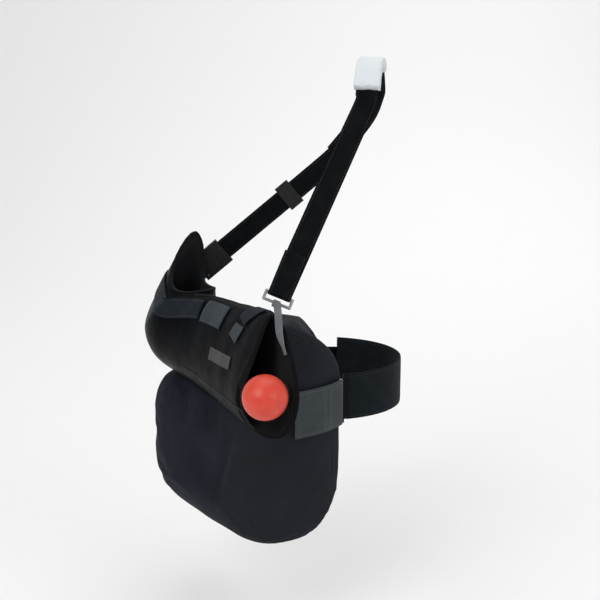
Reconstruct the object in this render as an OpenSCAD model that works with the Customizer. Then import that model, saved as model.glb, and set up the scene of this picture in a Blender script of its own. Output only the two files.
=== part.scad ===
// Arm sling with an abduction pillow, for the wearer's right arm.
// Origin: the point where the strap rests on the wearer's left shoulder.
// +Z is up, -Y is the way the wearer faces, +X is the wearer's left.

/* [Webbing] */
// width of the shoulder strap and the wrist strap
strap_w = 32; // [25:1:40]
// thickness of all webbing
strap_t = 2; // [1.5:0.1:3]
// height of the waist strap
waist_h = 70; // [50:1:80]

/* [Pillow] */
// lowest point of the pillow
pillow_bottom = -680; // [-720:1:-640]
// shelf that carries the pouch
pillow_shelf = -463; // [-470:1:-455]
// top of the wall between the wearer and the pouch
pillow_top = -335; // [-345:1:-325]
// thickness of the pillow cover
cover_t = 2; // [1.5:0.1:4]

/* [Pouch] */
// thickness of the laminated pouch wall
shell_t = 3; // [2:0.1:5]
// thickness of the pouch lining
lining_t = 1.2; // [1:0.1:2]
// rise of the peak behind the upper arm
peak_h = 84; // [40:1:110]

/* [Ball] */
// diameter of the exercise ball
ball_d = 60; // [50:1:70]

/* [Pad] */
// radius of the strap where it passes over the shoulder
shoulder_r = 75; // [60:1:90]
// half of the angle that the pad covers
pad_half = 45; // [30:1:48]

/* [Hidden] */
$fn = 48;

function unit(v) = v / norm(v);
function mix(a, b, t) = a + (b - a) * t;
function clamp01(t) = min(1, max(0, t));

// Smooth curve through a list of values or points, t runs from 0 to 1.
function curve(list, t) =
    let (last = len(list) - 1,
         at = t * last,
         i = min(floor(at), last - 1),
         u = at - i,
         a = list[max(i - 1, 0)],
         b = list[i],
         c = list[i + 1],
         d = list[min(i + 2, last)])
    0.5 * (2 * b + (c - a) * u + (2 * a - 5 * b + 4 * c - d) * u * u
        + (3 * b - a - 3 * c + d) * u * u * u);

function split(quads) =
    [for (q = quads) for (h = [0, 1]) [q[0], q[1 + h], q[2 + h]]];

// Triangles between neighbouring rings of n points, first is the first ring.
function skin_faces(rings, n, first = 0) =
    split([for (r = [0:rings - 2])
           for (k = [0:n - 1])
               let (a = (first + r) * n, b = a + n, m = (k + 1) % n)
               [a + k, a + m, b + m, b + k]]);

function flipped(faces) = [for (f = faces) [for (i = [len(f) - 1:-1:0]) f[i]]];

function joined(rings) = [for (r = rings) for (p = r) p];

// Solid tube wall between an outer and an inner list of rings.
module tube_wall(outer, inner) {
    n = len(outer[0]);
    c = len(outer);
    ends = [for (e = [0, 1])
            for (k = [0:n - 1])
                let (a = e * (c - 1) * n, b = a + c * n, m = (k + 1) % n)
                e == 0 ? [a + m, a + k, b + k, b + m]
                       : [a + k, a + m, b + m, b + k]];
    polyhedron(concat(joined(outer), joined(inner)),
               concat(skin_faces(c, n), flipped(skin_faces(c, n, c)), split(ends)),
               convexity = 8);
}

// Solid panel between an outer and an inner list of open rows of points.
module panel_wall(outer, inner) {
    n = len(outer[0]);
    c = len(outer);
    skin = [for (r = [0:c - 2]) for (k = [0:n - 2])
            let (a = r * n + k, b = a + n)
            [a, a + 1, b + 1, b]];
    lining = [for (f = flipped(split(skin))) [for (v = f) v + c * n]];
    sides = [for (r = [0:c - 2]) for (e = [0, 1])
             let (a = r * n + e * (n - 1), b = a + n, g = c * n)
             e == 0 ? [a, b, b + g, a + g] : [b, a, a + g, b + g]];
    ends = [for (e = [0, 1]) for (k = [0:n - 2])
            let (a = e * (c - 1) * n + k, g = c * n)
            e == 0 ? [a + 1, a, a + g, a + g + 1]
                   : [a, a + 1, a + g + 1, a + g]];
    polyhedron(concat(joined(outer), joined(inner)),
               concat(lining, split(concat(skin, sides, ends))), convexity = 8);
}

// Band of webbing along a path, normals point away from its inner face.
module ribbon(path, normals, w, t) {
    last = len(path) - 1;
    rings = [for (i = [0:last])
        let (along = unit(path[min(i + 1, last)] - path[max(i - 1, 0)]),
             side = unit(cross(along, normals[i])),
             out = cross(side, along),
             p = path[i])
        [p - side * w / 2,
         p + side * w / 2,
         p + side * w / 2 + out * t,
         p - side * w / 2 + out * t]];
    far = last * 4;
    polyhedron(joined(rings),
               concat(skin_faces(last + 1, 4),
                      split([[3, 2, 1, 0], [far, far + 1, far + 2, far + 3]])),
               convexity = 8);
}

// ---- Pillow ----

// Centre and half sizes of the wearer's waist, which the pillow follows.
waist_c = [-71, 0];
waist_a = 119;
waist_b = 95;
function waist_r(b) =
    1 / sqrt(pow(cos(b) / waist_a, 2) + pow(sin(b) / waist_b, 2));
function waist_at(b, r) = [waist_c.x + r * cos(b), waist_c.y + r * sin(b)];

// Outline of the lower block: bearing about the waist centre and distance.
block_plan = [[-228, 118], [-209, 187], [-196, 236], [-186, 261], [-176, 258],
              [-160, 229], [-140, 210], [-126, 210], [-113, 205], [-97, 163],
              [-74, 110]];
plan_steps = 60;
block_fine = [for (i = [0:plan_steps]) curve(block_plan, i / plan_steps)];
function block_r(b) = lookup(b, block_fine);

// Face of the upper wall, a vertical plane beside the pouch.
wall_bearing = -158;
wall_gap = 145;
function wall_r(b) =
    let (c = cos(b - wall_bearing))
    c < 0.3 ? block_r(b) : min(block_r(b), wall_gap / c);

// Rounded ends of the crescent, as a loss of bearing at top and bottom.
function end_loss(z) =
    z > pillow_top - 110 ? 32 * pow((z - pillow_top + 110) / 110, 2)
    : z < pillow_bottom + 160 ? 24 * pow((pillow_bottom + 160 - z) / 160, 4)
    : 0;

// Rounding of the outer face: low edge, shelf edge and top edge.
function round_in(r, t) = r * (1 - sqrt(1 - pow(clamp01(t), 2)));
function left_side(b) = pow(clamp01(cos((b + 185) * 1.2)), 2);
function outer_loss(b, z) =
    let (low = mix(24, 70, left_side(b)),
         shelf = 26 * left_side(b) + 8,
         step = clamp01((block_r(b) - wall_r(b)) / 15))
    round_in(low, (pillow_bottom + low * 1.2 - z) / (low * 1.2))
    + (z > pillow_shelf ? 0
       : step * round_in(shelf, (z - pillow_shelf + shelf * 2) / (shelf * 2)))
    + round_in(12, (z - pillow_top + 14) / 14);
function inner_gain(z) =
    round_in(14, (pillow_bottom + 18 - z) / 18)
    + round_in(8, (z - pillow_top + 14) / 14);

// Levels of the pillow above its lowest point, below and above the shelf.
block_h = pillow_shelf - pillow_bottom;
wall_h = pillow_top - pillow_shelf;
pillow_levels = concat(
    [for (t = [0, 3, 9, 20, 38, 62, 95, 135, 168, 190, 206, 214, 218]) t * block_h / 218],
    [for (t = [0.5, 18, 42, 66, 87, 103, 115, 123, 127, 128]) block_h + t * wall_h / 128]);
pillow_n = 30;

// The wall loses height toward the rear, behind the upper arm.
rear_drop = 0.36;
function dropped(b, z) =
    z < pillow_shelf ? z
    : z - (z - pillow_shelf) * rear_drop * clamp01((-140 - b) / 50);

// One closed level with the shape of height z, placed at height zm and
// inset from the outside by s.
function pillow_ring(z, zm, s) =
    let (first = -228 + end_loss(z),
         last = -74 - end_loss(z),
         bearings = [for (i = [0:pillow_n - 1])
             max(first + s / 2,
                 min(last - s / 2, mix(first, last, i / (pillow_n - 1))))])
    concat(
        [for (b = bearings)
            concat(waist_at(b, outer_r(b, z) - s), dropped(b, zm))],
        [for (i = [pillow_n - 1:-1:0])
            let (b = bearings[i],
                 r = min(waist_r(b) + 1 + inner_gain(z), outer_r(b, z) - lip))
            concat(waist_at(b, r + s), dropped(b, zm))]);

// The ends of the crescent stay at least this thick.
lip = 8;
function outer_r(b, z) =
    max(waist_r(b) + lip + 3,
        (z > pillow_shelf ? wall_r(b) : block_r(b)) - outer_loss(b, z));

module pillow_form(s) {
    rings = [for (h = pillow_levels)
        let (z = pillow_bottom + h,
             moved = h > block_h ? z - s : z + s * (1 - 2 * h / block_h))
        pillow_ring(z, moved, s)];
    n = 2 * pillow_n;
    c = len(rings);
    caps = [for (e = [0, 1])
            for (k = [0:pillow_n - 2])
                let (a = e * (c - 1) * n, m = a + n - 1 - k)
                e == 0 ? [a + k + 1, a + k, m, m - 1]
                       : [a + k, a + k + 1, m - 1, m]];
    polyhedron(joined(rings), flipped(concat(skin_faces(c, n), split(caps))), convexity = 8);
}

module pillow_cover() {
    color([0.14, 0.15, 0.18])
    difference() {
        pillow_form(0);
        pillow_form(cover_t);
    }
}

module pillow_core() {
    color([0.85, 0.82, 0.7])
    pillow_form(cover_t + 1);
}

// ---- Pouch ----

// The forearm runs from the elbow along "ahead"; "outward" leaves the wearer.
elbow = [-290, 20];
ahead = unit([0.371, -0.928]);
outward = [ahead.y, -ahead.x];
function on_arm(s, side, z) = concat(elbow + ahead * s + outward * side, z);

// Stations: top point (s, z), bottom point (s, z), half width, then the
// sideways shift of the bottom and of the top.
pouch_keys = [[318, -300, 366, -450, 31, -8, -34],
              [285, -302, 306, -454, 33, -9, -33],
              [215, -312, 225, -456, 35, -9, -29],
              [150, -320, 140, -457, 38, -7, -25],
              [105, -325, 55, -459, 44, -2, -16],
              [84, -329, -10, -455, 50, 4, -8],
              [76, -331, -44, -425, 52, 5, -5],
              [72, -330, -57, -386, 46, -2, -8],
              [70, -328, -54, -346, 41, -13, -12]];
pouch_steps = 20;
pouch_n = 32;
peak_bearing = -65;

// The side toward the wearer is pressed flat by the pillow.
flat_side = -46;

// The hand end is cut back on the outer side and runs on along the inner.
outer_cut = 2.8;
inner_run = 1.0;

function sharp(v, p) = sign(v) * pow(abs(v), p);

// Point of the pouch wall; u is 0 at the hand and 1 at the upper arm, a is
// the angle round the wall (0 outward, 90 on top), g is the depth inside it.
function pouch_point(u, a, g) =
    let (k = curve(pouch_keys, u),
         top = [k[0], k[1]],
         low = [k[2], k[3]],
         mid = (top + low) / 2,
         half = norm(top - low) / 2,
         narrow = 0.4 * clamp01(1.6 - u * 2),
         c = sharp(cos(a), 0.8),
         h = sharp(sin(a), 0.85),
         up = (1 + h) / 2,
         p = mid + unit(top - low) * h * (half - g),
         side = max(flat_side + g,
                    mix(k[5], k[6], pow(up, 1.3))
                    + c * (k[4] * (1 - narrow * up * up) - g)),
         cut = clamp01(1 - u * 8)
               * (side > 0 ? outer_cut * side * (1 - up * up)
                           : inner_run * side * (1 - pow(up, 3))),
         rise = peak_h * clamp01((u - 0.9) * 10)
                * pow((1 + cos(a - peak_bearing)) / 2, 3.5))
    on_arm(p.x - cut + rise * 0.12, side - rise * 0.55, p.y + rise);

// Direction straight out of the pouch wall.
function pouch_out(u, a) =
    unit(cross(pouch_point(u, a + 3, 0) - pouch_point(u, a - 3, 0),
               pouch_point(min(u + 0.01, 1), a, 0)
               - pouch_point(max(u - 0.01, 0), a, 0)));

function pouch_rings(g) =
    [for (i = [0:pouch_steps])
        [for (k = [0:pouch_n - 1])
            pouch_point(i / pouch_steps, -360 * k / pouch_n, g)]];

// Half of the wall, from one seam to the other; first is 24 for the outer
// panel, from the top seam, and 8 for the inner panel, from the low seam.
function half_rings(rings, first) =
    [for (r = rings) [for (k = [0:pouch_n / 2]) r[(first + k) % pouch_n]]];

module pouch_panel(first) {
    color([0.03, 0.03, 0.04])
    panel_wall(half_rings(pouch_rings(0), first),
               half_rings(pouch_rings(shell_t), first));
}

module pouch_lining() {
    color([0.16, 0.16, 0.18])
    tube_wall(pouch_rings(shell_t + 0.1), pouch_rings(shell_t + 0.1 + lining_t));
}

// Binding sewn over the wall's edge at one end, u is 0 or 1.
module binding(u) {
    // a small step back into the wall
    d = u == 0 ? 0.015 : -0.02;
    rim = [for (k = [0:pouch_n - 1])
        let (a = -360 * k / pouch_n,
             off = unit(pouch_point(u, a, 2) - pouch_point(u + d, a, 2)))
        [pouch_point(u, a, 5.4) + off * 0.2, pouch_point(u, a, -1) + off * 0.2,
         pouch_point(u, a, 0) + off * 2.4, pouch_point(u, a, 4.4) + off * 2.4]];
    faces = skin_faces(pouch_n, 4);
    wrap = split([for (m = [0:3])
        let (a = (pouch_n - 1) * 4, w = (m + 1) % 4)
        [a + m, a + w, w, m]]);
    polyhedron(joined(rim), u == 0 ? concat(faces, wrap)
                                   : flipped(concat(faces, wrap)), convexity = 8);
}

module hand_binding() {
    color([0.05, 0.05, 0.06]) binding(0);
}

module arm_binding() {
    color([0.05, 0.05, 0.06]) binding(1);
}

// Strip that lies on the pouch along a list of (u, a) pairs.
module on_pouch(track, w, t, gap, steps) {
    places = [for (i = [0:steps]) curve(track, i / steps)];
    path = [for (p = places) pouch_point(p[0], p[1], -gap)];
    ribbon(path, [for (p = places) pouch_out(p[0], p[1])], w, t);
}

label_track = [[0.16, 2], [0.2, 2], [0.24, 2], [0.28, 2]];
label_w = 18;
label_t = 0.6;
label_gap = 1.1;
module pouch_label() {
    color([0.3, 0.3, 0.32])
    on_pouch(label_track, label_w, label_t, label_gap, 6);
}

// The hook patch on the pouch and the loop patch on the pillow wall face
// each other with a small gap.
patch_s = 215;
patch_z = -400;
patch_size = [110, 60];
tape_t = 1.4;
hook_side = -46.3;
loop_side = -48.9;
module wall_patch(side, t) {
    place = on_arm(patch_s - patch_size.x / 2, side, patch_z - patch_size.y / 2);
    translate(place)
    rotate([0, 0, atan2(ahead.y, ahead.x)])
    cube([patch_size.x, t, patch_size.y]);
}

module pouch_hook_patch() {
    color([0.08, 0.08, 0.09]) wall_patch(hook_side, tape_t);
}

module pillow_loop_patch() {
    color([0.1, 0.1, 0.12]) wall_patch(loop_side, tape_t);
}

// ---- Shoulder strap, ring and pad ----

// The strap passes over the shoulder in an upright plane with this heading.
over_heading = -98;
over_end = 66;
function over_out(b) =
    [sin(b) * cos(over_heading), sin(b) * sin(over_heading), cos(b)];
function over_point(b, r) = over_out(b) * r - [0, 0, shoulder_r];

module at_frame(o, x, z) {
    y = cross(z, x);
    multmatrix([[x.x, y.x, z.x, o.x],
                [x.y, y.y, z.y, o.y],
                [x.z, y.z, z.z, o.z],
                [0, 0, 0, 1]])
    children();
}

// Round bar between two points.
module rod(p, q, r) {
    d = q - p;
    translate(p)
    rotate([0, acos(d.z / norm(d)), atan2(d.y, d.x)])
    cylinder(r = r, h = norm(d));
}

// Ring at the front of the pouch: centre, up the strap, out of its plane.
ring_c = [-132, -250, -283];
ring_up = unit([116, 191, 249]);
ring_out = unit(cross(cross(ring_up, [0.15, -0.82, 0.55]), ring_up));
ring_bar = 2;
ring_play = 0.4;
ring_half = [strap_w / 2 + ring_bar + ring_play, 6];

// Rectangular ring of round bar, its long bars across the strap.
module wrist_ring() {
    color([0.55, 0.56, 0.58])
    at_frame(ring_c, ring_up, ring_out)
    for (e = [-1, 1]) {
        rod([e * ring_half.y, -ring_half.x, 0], [e * ring_half.y, ring_half.x, 0],
            ring_bar);
        rod([-ring_half.y, e * ring_half.x, 0], [ring_half.y, e * ring_half.x, 0],
            ring_bar);
        for (f = [-1, 1])
            translate([e * ring_half.y, f * ring_half.x, 0]) sphere(r = ring_bar);
    }
}

// The strap folds round the ring's upper bar, crosses the shoulder, runs
// down the back and ends inside the plug of the elbow buckle.
fold_r = ring_bar + 0.4;
fold_len = 62;
fold_turns = [-90:30:90];
over_turns = [for (i = [0:20]) over_end * (1 - i / 10)];
back_frame_x = unit([175, 17, 145]);
back_frame_z = unit(cross(cross(back_frame_x, [0, 1, 0]), back_frame_x));
elbow_mouth = [-235, 95, -305];
slider_at = 150;

// Height of the webbing over the middle of the elbow buckle and of the
// waist buckle: its lower face and its centre.
web_low = 2.15;
web_z = web_low + strap_t / 2;

function fold_out(b) = -(ring_up * cos(b) + ring_out * sin(b));
function fold_point(b) = ring_c + ring_up * ring_half.y + fold_out(b) * fold_r;

front_join = [0.05, 0.3, 0.6, 0.85];
back_start = over_point(-over_end, shoulder_r + strap_t);
back_line = elbow_mouth + back_frame_x * 228
            + back_frame_z * (web_z + strap_t / 2);
back_bend = [back_start, [0, 92, -78], [-22, 107, -112], back_line];
shoulder_path = concat(
    [fold_point(-90) + ring_up * fold_len],
    [for (b = fold_turns) fold_point(b)],
    [for (t = front_join)
        mix(fold_point(90), over_point(over_end, shoulder_r + strap_t), t)],
    [for (b = over_turns) over_point(b, shoulder_r + strap_t)],
    [for (i = [1:8]) curve(back_bend, i / 8)],
    [elbow_mouth + back_frame_x * 4 + back_frame_z * (web_z + strap_t / 2)]);
shoulder_in = concat(
    [ring_out],
    [for (b = fold_turns) fold_out(b)],
    [for (t = front_join) -unit(mix(ring_out, over_out(over_end), t))],
    [for (b = over_turns) -over_out(b)],
    [for (i = [1:8]) -unit(mix(over_out(-over_end), back_frame_z, i / 8))],
    [-back_frame_z]);

module shoulder_strap() {
    color([0.04, 0.04, 0.05])
    ribbon(shoulder_path, shoulder_in, strap_w, strap_t);
}

// Section of the pad: x is the distance from the shoulder arc's centre.
pad_gap = 0.8;
pad_w = strap_w + 12;
pad_in = shoulder_r - 5;
pad_out = shoulder_r + strap_t + 13;
module rounded_box_2d(x0, x1, w, r) {
    for (x = [x0 + r, x1 - r])
        for (y = [-w / 2 + r, w / 2 - r])
            translate([x, y]) circle(r = r);
    translate([x0 + r, -w / 2]) square([x1 - x0 - 2 * r, w]);
    translate([x0, -w / 2 + r]) square([x1 - x0, w - 2 * r]);
}

module strap_slot_2d(g) {
    translate([shoulder_r - g, -strap_w / 2 - g])
    square([strap_t + 2 * g, strap_w + 2 * g]);
}

// Turns a section into a band over the shoulder, half is its half angle;
// the pad sits a little forward of the top.
pad_forward = 10;
module over_shoulder(half) {
    at_frame([0, 0, -shoulder_r],
             [cos(over_heading), sin(over_heading), 0],
             [sin(over_heading), -cos(over_heading), 0])
    rotate([0, 0, 90 - pad_forward - half])
    rotate_extrude(angle = 2 * half)
    children();
}

pad_skin = 1.5;
module pad_cover() {
    color([0.85, 0.87, 0.88])
    over_shoulder(pad_half)
    difference() {
        rounded_box_2d(pad_in, pad_out, pad_w, 4);
        rounded_box_2d(pad_in + pad_skin, pad_out - pad_skin,
                       pad_w - 2 * pad_skin, 2.5);
    }
}

module pad_foam() {
    color([0.9, 0.88, 0.75])
    over_shoulder(pad_half - 1)
    difference() {
        rounded_box_2d(pad_in + pad_skin + 0.2, pad_out - pad_skin - 0.2,
                       pad_w - 2 * pad_skin - 0.4, 2.3);
        strap_slot_2d(pad_gap);
    }
}

// ---- Buckles ----

// Buckle frame: origin at the socket's mouth, x toward the plug, z outward.
bk_w = strap_w + 10;
bk_h = 9;
socket_len = 34;
plug_len = 16;
tongue_len = 20;
arm_len = 21;
arm_y = 11.5;
arm_w = 3.6;
cavity = [26, strap_w + 2, 5];
window = [12, 2 * bk_w, cavity.z];
window_at = -21;
bar_w = strap_w + 1.6;
bar_len = 3.5;
bar_half = 2.5;
slot_len = 3;

module buckle_socket() {
    difference() {
        translate([-socket_len, -bk_w / 2, -bk_h / 2])
        cube([socket_len, bk_w, bk_h]);
        translate([-cavity.x, -cavity.y / 2, -cavity.z / 2])
        cube([cavity.x + 1, cavity.y, cavity.z]);
        // side windows where the prong heads can be pressed
        translate([window_at, -window.y / 2, -window.z / 2])
        cube(window);
        // slot in front of the rear bar
        translate([-socket_len + bar_len, -bar_w / 2, -bk_h])
        cube([slot_len, bar_w, 2 * bk_h]);
        // the bar is thinner than the body
        for (z = [bar_half, -bk_h])
            translate([-socket_len - 1, -bar_w / 2, z])
            cube([1 + bar_len + slot_len, bar_w, bk_h - bar_half]);
    }
}

// Inner face of webbing folded round the socket's bar, in the buckle frame.
bar_fold = [[-34.6, 2.9], [-30.7, 2.9], [-30.2, 2.5], [-30.2, -2.5],
            [-30.7, -2.9], [-34.6, -2.9]];
bar_fold_out = [[0, 1], [0.4, 0.9], [0.9, 0.4], [0.9, -0.4], [0.4, -0.9],
                [0, -1]];
function in_buckle(p) =
    elbow_mouth + back_frame_x * p.x + back_frame_z * p.y;
function buckle_dir(p) = back_frame_x * p.x + back_frame_z * p.y;

// The webbing crosses the plug above its tongue, between two side rails and
// under two bars.
rail_top = 6.2;
plug_base = 1.75;
plug_gap = 0.4;
tongue_w = 8;
tongue_low = -1.8;
root_block = [7, 6];
cross_bar = [3, bk_w - 2, 1.4];
module buckle_plug() {
    rail_w = (bk_w - strap_w - 3 * plug_gap) / 2;
    tongue_t = plug_base - tongue_low;
    translate([plug_gap, -bk_w / 2, -bk_h / 2])
    cube([plug_len, bk_w, bk_h / 2 + plug_base]);
    for (e = [-1, 1])
        translate([plug_gap, e * (bk_w - rail_w) / 2 - rail_w / 2, 0])
        cube([plug_len, rail_w, rail_top]);
    for (x = [1.2, plug_len - 3.4])
        translate([x, -cross_bar.y / 2, rail_top - 1.6])
        cube(cross_bar);
    translate([-tongue_len, -tongue_w / 2, tongue_low])
    cube([tongue_len + 1.4, tongue_w, tongue_t]);
    for (e = [-1, 1])
        translate([1 - root_block.x, e * arm_y - root_block.y / 2, tongue_low])
        cube([root_block.x, root_block.y, tongue_t]);
}

// Spring prong on side e, turning about a round root in the plug. Its head
// stands out sideways and catches behind the socket's window.
root_r = 2;
root_x = -8.4;
prong_t = 3.6;
head = [10, 4.8, prong_t];
head_out = 2.6;
module buckle_prong(e) {
    translate([root_x, e * arm_y, -prong_t / 2]) cylinder(r = root_r, h = prong_t);
    translate([-arm_len, e * arm_y - arm_w / 2, -prong_t / 2])
    cube([arm_len + root_x, arm_w, prong_t]);
    translate([-arm_len, e * (arm_y + head_out) - head.y / 2, -prong_t / 2]) cube(head);
}

// ---- Elbow strap ----

// Folded round the socket's bar, it wraps the elbow and ends on the
// pouch's outer wall.
elbow_track = [[0.935, -104], [0.935, -75], [0.94, -45], [0.945, -14],
               [0.925, 8], [0.86, 24], [0.66, 38], [0.42, 46]];
elbow_tab_track = [[0.40, 46.5], [0.36, 46], [0.31, 45], [0.27, 44]];
elbow_gap = 2.2;
elbow_steps = 22;
elbow_places = [for (i = [0:elbow_steps]) curve(elbow_track, i / elbow_steps)];
elbow_path = concat(
    [in_buckle([-47, 0.7]), in_buckle([-38, 2])],
    [for (p = bar_fold) in_buckle(p)],
    [in_buckle([-40, -1.6])],
    [for (p = elbow_places) pouch_point(p[0], p[1], -elbow_gap - strap_t)]);
elbow_out = concat(
    [back_frame_z, back_frame_z],
    [for (p = bar_fold_out) buckle_dir(p)],
    [-back_frame_z],
    [for (p = elbow_places) -pouch_out(p[0], p[1])]);

module elbow_strap() {
    color([0.12, 0.13, 0.15])
    ribbon(elbow_path, elbow_out, strap_w, strap_t);
}

module elbow_tab() {
    color([0.28, 0.30, 0.33])
    on_pouch(elbow_tab_track, strap_w + 4, strap_t, elbow_gap, 6);
}

module elbow_socket() {
    color([0.06, 0.06, 0.07])
    at_frame(elbow_mouth, back_frame_x, back_frame_z) buckle_socket();
}

module elbow_plug() {
    color([0.06, 0.06, 0.07])
    at_frame(elbow_mouth, back_frame_x, back_frame_z) buckle_plug();
}

module elbow_prong(e) {
    color([0.1, 0.1, 0.11])
    at_frame(elbow_mouth, back_frame_x, back_frame_z) buckle_prong(e);
}

// Slider that rides on the straight part of the back run: length and
// thickness, then width and height of the slit for the webbing.
slider_size = [24, 6];
slit = [strap_w + 1.2, strap_t + 1.2];
module strap_slider() {
    color([0.06, 0.06, 0.07])
    at_frame(elbow_mouth + back_frame_x * slider_at + back_frame_z * web_z,
             back_frame_x, back_frame_z)
    difference() {
        translate([-slider_size.x / 2, -bk_w / 2, -slider_size.y / 2])
        cube([slider_size.x, bk_w, slider_size.y]);
        translate([-slider_size.x / 2 - 1, -slit.x / 2, -slit.y / 2])
        cube([slider_size.x + 2, slit.x, slit.y]);
        // two slots in its outer face leave a middle bar
        for (x = [-8, 3])
            translate([x, -slit.x / 2, 0]) cube([5, slit.x, slider_size.y]);
    }
}

// ---- Wrist strap ----

// Crosses the top of the pouch near the hand, under the ring.
wrist_track = [[0.166, 48], [0.155, 62], [0.135, 76], [0.12, 90], [0.11, 106],
               [0.1, 125]];
wrist_tab_track = [[0.169, 42], [0.17, 38], [0.175, 31], [0.18, 24]];
wrist_gap = 1.8;
wrist_w = strap_w - 4;

module wrist_strap() {
    color([0.07, 0.075, 0.09])
    on_pouch(wrist_track, wrist_w, strap_t, wrist_gap, 14);
}

module wrist_tab() {
    color([0.25, 0.28, 0.31])
    on_pouch(wrist_tab_track, wrist_w, strap_t, wrist_gap, 5);
}

// Narrow webbing hooked over the ring's lower bar; its front end runs down
// to the inside of the wearer's side wall.
leg_w = 10;
leg_t = 1.5;
lower_bar = ring_c - ring_up * ring_half.y;
leg_turns = [80:-32:-80];
function hook_out(b) = ring_up * cos(b) - ring_out * sin(b);
leg_path = concat(
    [lower_bar + hook_out(90) * fold_r - ring_up * 5],
    [for (b = leg_turns) lower_bar + hook_out(b) * fold_r],
    [lower_bar + [2, -13, -8],
     lower_bar + [3, -22, -18],
     lower_bar + [5, -33, -33],
     lower_bar + [10, -40, -48],
     lower_bar + [13, -43, -58]]);
leg_in = concat(
    [-ring_out],
    [for (b = leg_turns) hook_out(b)],
    [ring_out, ring_out,
     unit(ring_out + [outward.x, outward.y, 0]),
     [outward.x, outward.y, 0], [outward.x, outward.y, 0]]);

module inner_leg() {
    color([0.42, 0.43, 0.45])
    ribbon(leg_path, leg_in, leg_w, leg_t);
}

// ---- Waist strap ----

waist_top = -438;
waist_low = waist_top - waist_h;
waist_mid = waist_top - waist_h / 2;
waist_t = strap_t;
function waist_xy(b, g) = waist_at(b, waist_r(b) + g);

// Upright band from a list of plan points and a thickness to their left.
module upright_band(points, t, low, h) {
    last = len(points) - 1;
    outer = [for (i = [0:last])
        let (d = unit(points[min(i + 1, last)] - points[max(i - 1, 0)]))
        points[i] + [d.y, -d.x] * t];
    translate([0, 0, low])
    linear_extrude(height = h)
    polygon(concat(points, [for (i = [last:-1:0]) outer[i]]));
}

// The grey tab lies on the pillow's front face, sewn to the strap's end.
tab_from = -76;
tab_to = -102.5;
tab_gap = 3.4;
tab_steps = 6;
tab_t = 2.2;
row_r = 0.9;
row_in = 4;
tab_plan = [for (i = [0:tab_steps])
    let (b = mix(tab_to, tab_from, i / tab_steps))
    waist_at(b, block_r(b) + tab_gap)];
loop_plan = [for (i = [0:tab_steps - 1])
    tab_plan[i] + unit(waist_c - tab_plan[i]) * 2.6];
patch_t = 1.1;
patch_in = 3;
waist_from = -72.5;
waist_to = 74;
waist_steps = 30;
waist_plan = concat(
    [waist_at(-74.5, block_r(-74.5) + 3.8)],
    [for (i = [0:waist_steps])
        waist_xy(mix(waist_from, waist_to, i / waist_steps), 1.6)]);

module waist_strap() {
    color([0.08, 0.1, 0.11])
    upright_band(waist_plan, waist_t, waist_low, waist_h);
}

module waist_tab() {
    color([0.24, 0.26, 0.27]) {
        upright_band(tab_plan, tab_t, waist_low, waist_h);
        // two raised rows of stitching on the outer face
        for (i = [3, 4])
            let (d = unit(tab_plan[i + 1] - tab_plan[i]),
                 p = mix(tab_plan[i], tab_plan[i + 1], 0.5) + [d.y, -d.x] * tab_t)
            translate(concat(p, waist_low + row_in))
            cylinder(r = row_r, h = waist_h - 2 * row_in, $fn = 16);
    }
}

module waist_loop_patch() {
    color([0.05, 0.05, 0.06])
    upright_band(loop_plan, patch_t, waist_low + patch_in, waist_h - 2 * patch_in);
}

// Rear closure: the plug rides on the strap's narrow tail.
waist_mouth = [-92, 102, waist_mid];
waist_frame_x = [1, 0, 0];
waist_frame_z = [0, 1, 0];
tail_plan = [waist_xy(56, 4.1), waist_xy(61, 4.5),
             [waist_mouth.x + 46, waist_mouth.y + web_low],
             [waist_mouth.x + 4, waist_mouth.y + web_low]];

// Webbing of the socket: folded round its bar, then sewn to the pillow.
rear_fold = [for (p = bar_fold) [waist_mouth.x + p.x, waist_mouth.y + p.y]];
rear_plan = concat([[-152, 97.8], [-138, 100.2]],
                   rear_fold,
                   [[-136, 97.6], [-152, 97.4], [-175, 97.4], [-200, 97.6]]);

module waist_tail() {
    color([0.05, 0.055, 0.06])
    upright_band(tail_plan, strap_t, waist_mid - strap_w / 2, strap_w);
}

module waist_rear_webbing() {
    color([0.05, 0.055, 0.06])
    upright_band([for (i = [len(rear_plan) - 1:-1:0]) rear_plan[i]], strap_t,
                 waist_mid - strap_w / 2, strap_w);
}

module waist_socket() {
    color([0.06, 0.06, 0.07])
    at_frame(waist_mouth, waist_frame_x, waist_frame_z) buckle_socket();
}

module waist_plug() {
    color([0.06, 0.06, 0.07])
    at_frame(waist_mouth, waist_frame_x, waist_frame_z) buckle_plug();
}

module waist_prong(e) {
    color([0.1, 0.1, 0.11])
    at_frame(waist_mouth, waist_frame_x, waist_frame_z) buckle_prong(e);
}

// ---- Zip of the pillow cover, on its rear face ----

zip_b = -217;
zip_low = -612;
zip_len = 104;
zip_at = waist_at(zip_b, block_r(zip_b));
zip_slider_z = zip_low + zip_len - 12;
zip_turn = 4;

module on_zip(z) {
    translate([zip_at.x, zip_at.y, z])
    rotate([0, 0, zip_turn])
    children();
}

// Tape, then the closed teeth standing on it.
tape = [20, 0.9];
teeth = [4, 1];
teeth_in = 2;
module zip_tape() {
    color([0.1, 0.1, 0.12])
    on_zip(zip_low) {
        translate([-tape.x / 2, 0.3, 0]) cube([tape.x, tape.y, zip_len]);
        translate([-teeth.x / 2, 1.1, teeth_in])
        cube([teeth.x, teeth.y, zip_len - 2 * teeth_in]);
    }
}

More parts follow.
